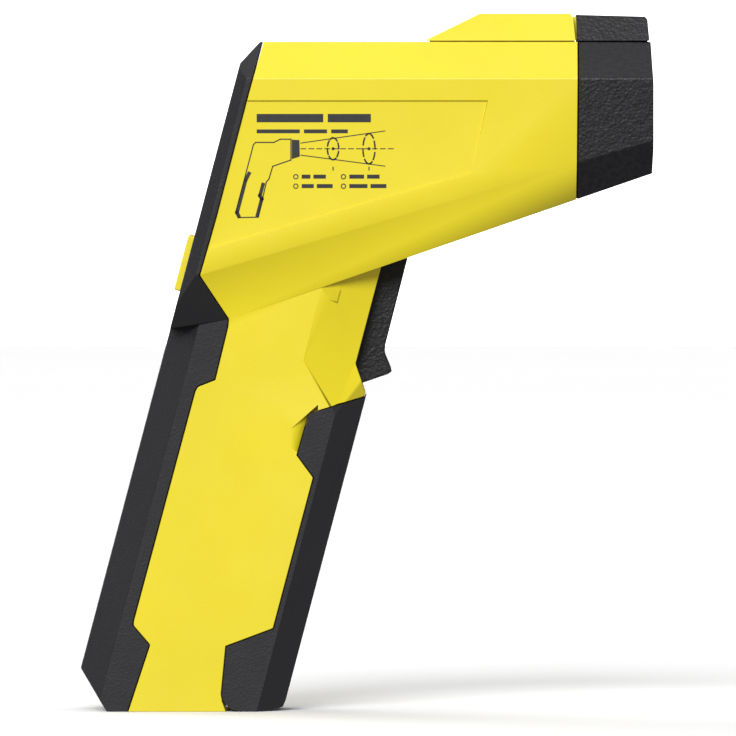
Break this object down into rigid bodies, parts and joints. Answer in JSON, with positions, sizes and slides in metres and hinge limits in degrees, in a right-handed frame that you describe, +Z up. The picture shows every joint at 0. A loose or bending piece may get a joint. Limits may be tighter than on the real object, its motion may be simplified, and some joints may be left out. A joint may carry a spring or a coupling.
{
  "type": "infrared thermometer",
  "caption": "Pistol-grip non-contact infrared thermometer with recessed lens, laser pointer housing on top, rear display and keys, finger trigger and a hinged battery door in the grip.",
  "frame": {"origin": "on the resting surface, under the middle of the bounding box", "axes": "+X is where the lens looks, +Z is up, +Y is the instrument's left side"},
  "size_m": [0.1518, 0.05, 0.185],
  "materials": {
    "yellow_abs": "fine-textured moulded yellow ABS",
    "black_tpe": "soft matt black over-moulding",
    "black_abs": "grained black ABS",
    "clear_window": "clear polycarbonate",
    "lcd_glass": "reflective liquid crystal display",
    "circuit_board": "green solder resist",
    "silicone": "grey silicone rubber",
    "ir_lens_glass": "dark coated infrared lens",
    "steel": "bright zinc-plated steel",
    "brass": "turned brass",
    "battery_wrap": "printed metal sleeve, blank",
    "red_wire": "red insulation",
    "black_wire": "black insulation"
  },
  "bodies": {
    "root": {"housing_right": "yellow_abs", "housing_left": "yellow_abs", "laser_hood": "yellow_abs", "rear_cover": "black_tpe", "nose_cap": "black_abs", "laser_cap": "black_abs", "optics_barrel": "black_abs", "lens_retainer": "black_abs", "switch_body": "black_abs", "battery_tray": "black_abs", "battery_snap": "black_abs", "buzzer": "black_abs", "display_window": "clear_window", "laser_window": "clear_window", "lcd_module": "lcd_glass", "main_board": "circuit_board", "sensor_board": "circuit_board", "keypad_mat": "silicone", "sensor_ribbon": "silicone", "ir_lens": "ir_lens_glass", "thermopile": "steel", "trigger_pin": "steel", "door_hinge_pin": "steel", "trigger_spring": "steel", "laser_module": "brass", "battery": "battery_wrap", "red_lead": "red_wire", "black_lead": "black_wire", "board_screw_1": "steel", "board_screw_2": "steel", "board_screw_3": "steel", "board_screw_4": "steel", "housing_screw_1": "steel", "housing_screw_2": "steel", "housing_screw_3": "steel", "housing_screw_4": "steel", "housing_screw_5": "steel", "housing_screw_6": "steel"},
    "trigger": {"trigger": "black_abs"},
    "switch_lever": {"switch_lever": "steel"},
    "key_left": {"key_left": "yellow_abs"},
    "key_centre": {"key_centre": "yellow_abs"},
    "key_right": {"key_right": "yellow_abs"},
    "battery_door": {"battery_door": "black_tpe"}
  },
  "joints": [
    {"name": "trigger_pull", "type": "hinge", "parent": "root", "child": "trigger", "pos_m": [0.0055, 0, 0.125], "axis": [0, 1, 0], "range_deg": [0, 6], "stiffness_Nm_per_rad": 0.4, "springref_deg": -11.46, "deforming": ["trigger_spring"]},
    {"name": "switch_lever_swing", "type": "hinge", "parent": "root", "child": "switch_lever", "pos_m": [-0.00178, 0, 0.11735], "axis": [0, 1, 0], "range_deg": [0, 10.8]},
    {"name": "key_left_press", "type": "slide", "parent": "root", "child": "key_left", "axis": [0.9668, 0, -0.2554], "range_m": [0, 0.001], "stiffness_N_per_m": 800, "springref_m": -0.0005},
    {"name": "key_centre_press", "type": "slide", "parent": "root", "child": "key_centre", "axis": [0.9668, 0, -0.2554], "range_m": [0, 0.001], "stiffness_N_per_m": 800, "springref_m": -0.0005},
    {"name": "key_right_press", "type": "slide", "parent": "root", "child": "key_right", "axis": [0.9668, 0, -0.2554], "range_m": [0, 0.001], "stiffness_N_per_m": 800, "springref_m": -0.0005},
    {"name": "battery_door_swing", "type": "hinge", "parent": "root", "child": "battery_door", "pos_m": [-0.0338, 0, 0.0048], "axis": [0, 1, 0], "range_deg": [0, 70]}
  ],
  "couplings": [
    {"joint": "switch_lever_swing", "follows": "trigger_pull", "ratio": 1.77}
  ]
}
